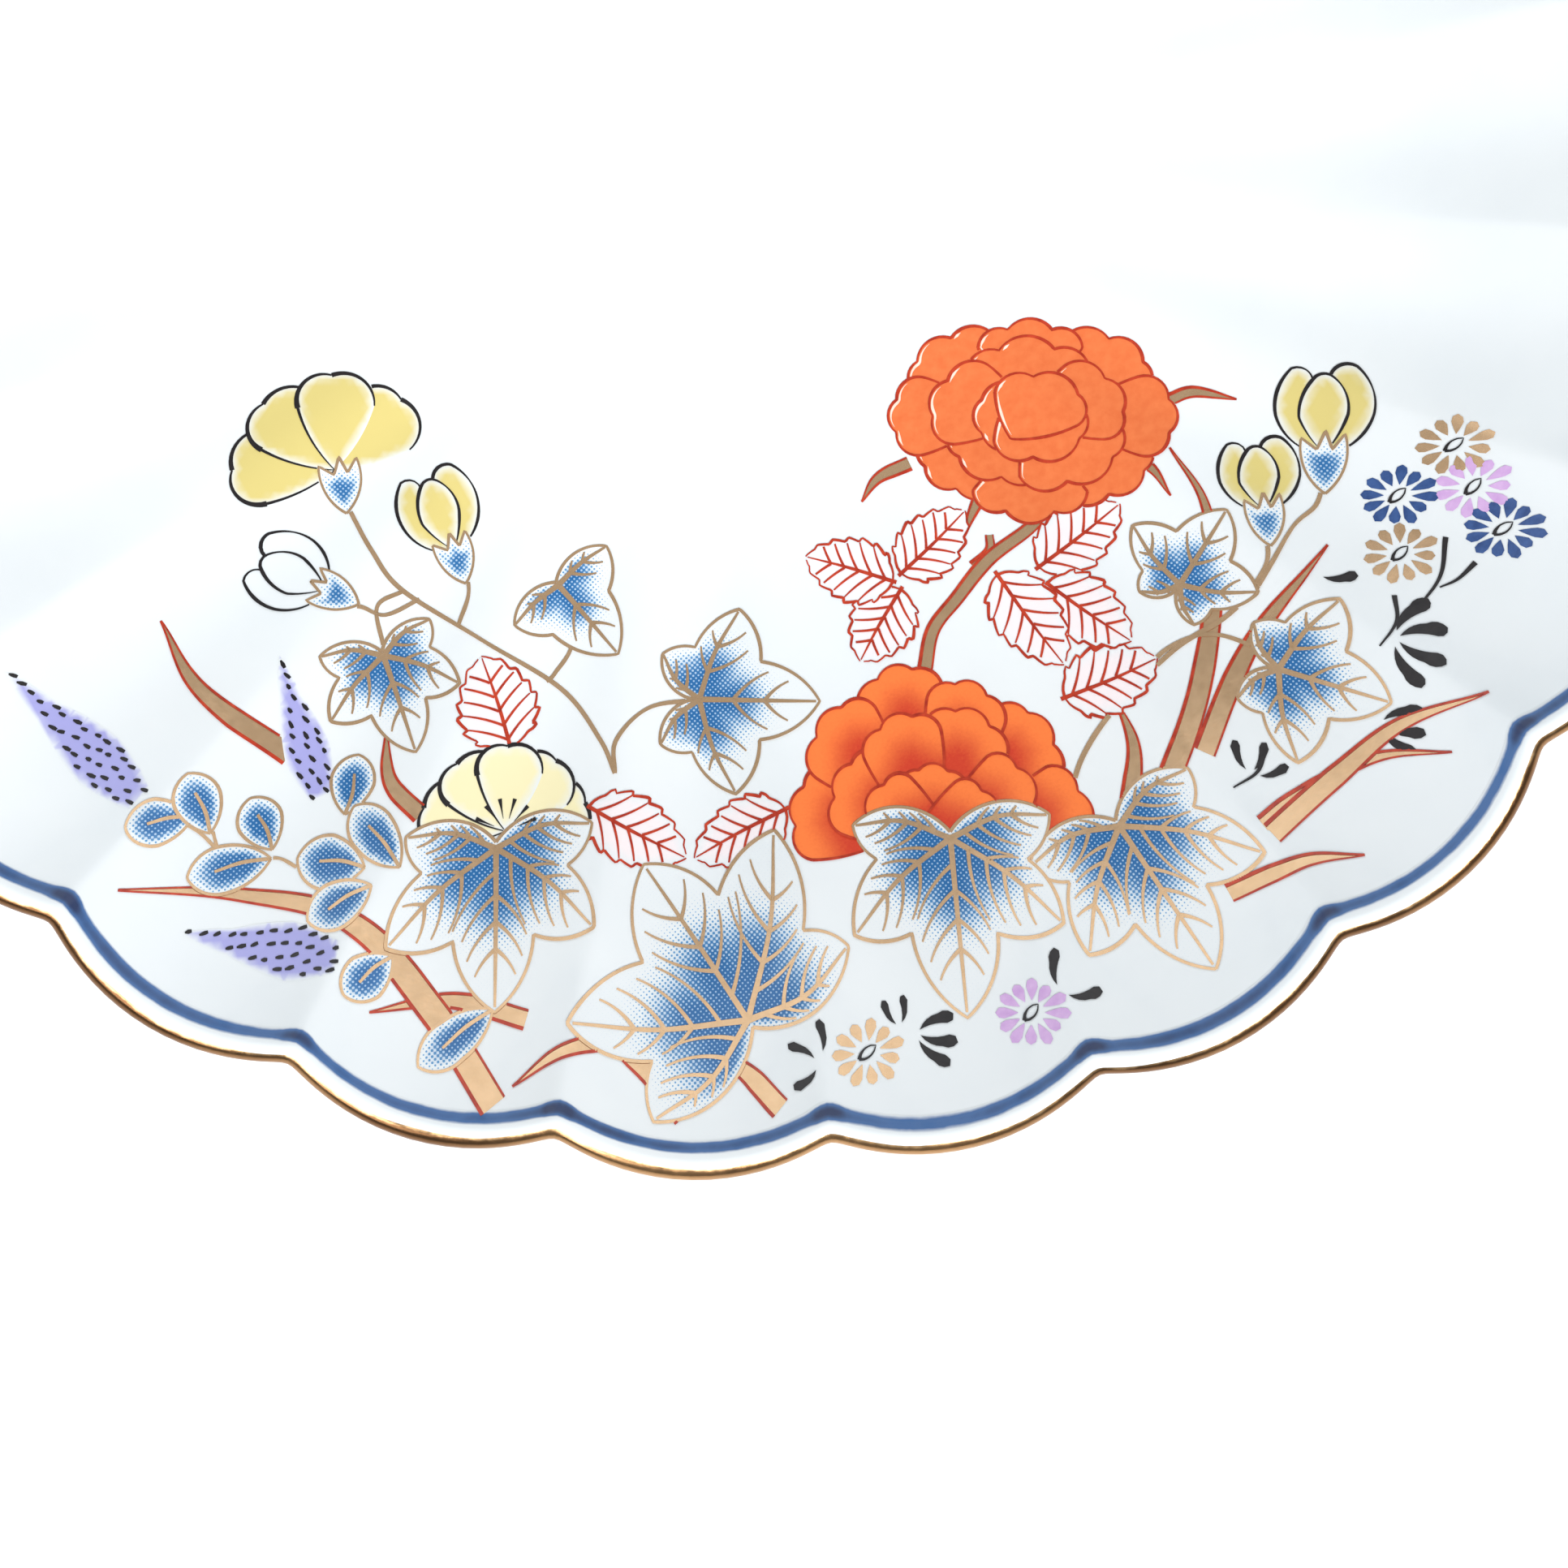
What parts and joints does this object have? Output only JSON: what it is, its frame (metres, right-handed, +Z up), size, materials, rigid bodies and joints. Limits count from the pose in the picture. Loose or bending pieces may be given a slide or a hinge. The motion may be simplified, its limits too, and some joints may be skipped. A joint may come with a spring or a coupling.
{
  "type": "serving bowl",
  "caption": "Round porcelain serving bowl with a scalloped, gilt-edged rim, softly fluted inside and standing on a turned foot ring.",
  "frame": {"origin": "middle of the resting plane, under the foot ring", "axes": "+Z up along the bowl's axis of rotation; a rim lobe is centred on -Y, the side that carries the decoration"},
  "size_m": [0.25, 0.25, 0.072],
  "materials": {
    "glazed_porcelain": "clear glossy glaze, painted with cobalt blue under it and coloured enamels over it",
    "foot_porcelain": "glazed sides, bare ground tread",
    "gilt": "fired gold, burnished"
  },
  "bodies": {
    "root": {"bowl_body": "glazed_porcelain", "foot_ring": "foot_porcelain", "gold_lip": "gilt"}
  },
  "joints": []
}
